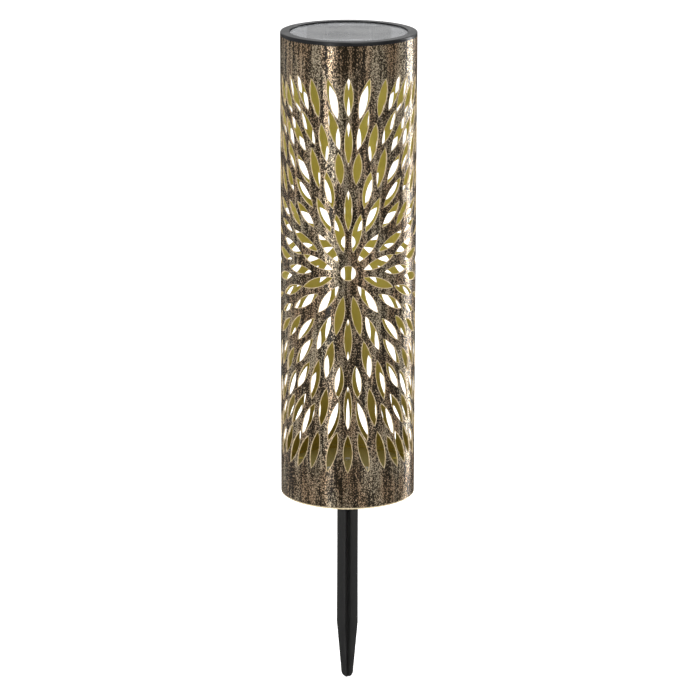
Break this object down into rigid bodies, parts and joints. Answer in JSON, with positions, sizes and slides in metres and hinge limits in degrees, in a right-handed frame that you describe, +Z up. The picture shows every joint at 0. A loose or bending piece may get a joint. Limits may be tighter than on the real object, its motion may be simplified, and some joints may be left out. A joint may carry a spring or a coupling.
{
  "type": "solar garden light",
  "caption": "Upright perforated steel cylinder on a ground stake, lit from a lift-off solar cap with battery and LED.",
  "frame": {"origin": "on the shade's axis at its lower rim, which is the ground line; the stake hangs below it", "axes": "+Z up the shade's axis; -Y towards the front medallion of the leaf pattern, +X to its right"},
  "size_m": [0.1, 0.1, 0.4982],
  "materials": {
    "stake_plastic": "moulded, slight sheen",
    "patina_steel": "antique copper over black, brushed upright, satin",
    "inner_paint": "dull olive gold",
    "black_plastic": "satin moulded",
    "rivet_alloy": "plain",
    "seal_rubber": "matte",
    "panel_black": "matte",
    "silicon": "dark blue cells",
    "window_clear": "clear, flat",
    "screw_steel": "zinc plated",
    "cell_wrap": "printed sleeve, plain",
    "contact_metal": "nickel plated",
    "board_green": "solder mask",
    "chip_black": "matte",
    "coil_green": "lacquered",
    "led_resin": "warm white, clear",
    "lens_frosted": "frosted",
    "switch_case": "tinned",
    "lead_red": "insulated wire",
    "lead_black": "insulated wire"
  },
  "bodies": {
    "stake": {"ground_stake": "stake_plastic"},
    "shade": {"shade_sleeve": "patina_steel", "floor_plate": "inner_paint", "stake_socket": "black_plastic", "socket_rivets": "rivet_alloy"},
    "cap": {"cap_housing": "black_plastic", "cap_seal": "seal_rubber", "panel_backing": "panel_black", "solar_cells": "silicon", "panel_window": "window_clear", "module_cover": "black_plastic", "cover_gasket": "seal_rubber", "cover_screws": "screw_steel", "battery_cell": "cell_wrap", "plus_contact": "contact_metal", "minus_contact": "contact_metal", "circuit_board": "board_green", "board_screws": "screw_steel", "driver_chip": "chip_black", "inductor": "coil_green", "led": "led_resin", "led_lens": "lens_frosted", "switch_body": "switch_case", "panel_leads": "lead_red", "battery_leads": "lead_black"},
    "battery_lid": {"battery_door": "black_plastic", "door_screws": "screw_steel"},
    "switch": {"switch_slider": "black_plastic"}
  },
  "joints": [
    {"name": "shade_lift", "type": "slide", "parent": "stake", "child": "shade", "axis": [0, 0, 1], "range_m": [0, 0.02]},
    {"name": "cap_lift", "type": "slide", "parent": "shade", "child": "cap", "axis": [0, 0, 1], "range_m": [0, 0.045]},
    {"name": "battery_door_pull", "type": "slide", "parent": "cap", "child": "battery_lid", "axis": [0, 0, -1], "range_m": [0, 0.015]},
    {"name": "switch_slide", "type": "slide", "parent": "cap", "child": "switch", "axis": [1, 0, 0], "range_m": [0, 0.003]}
  ]
}
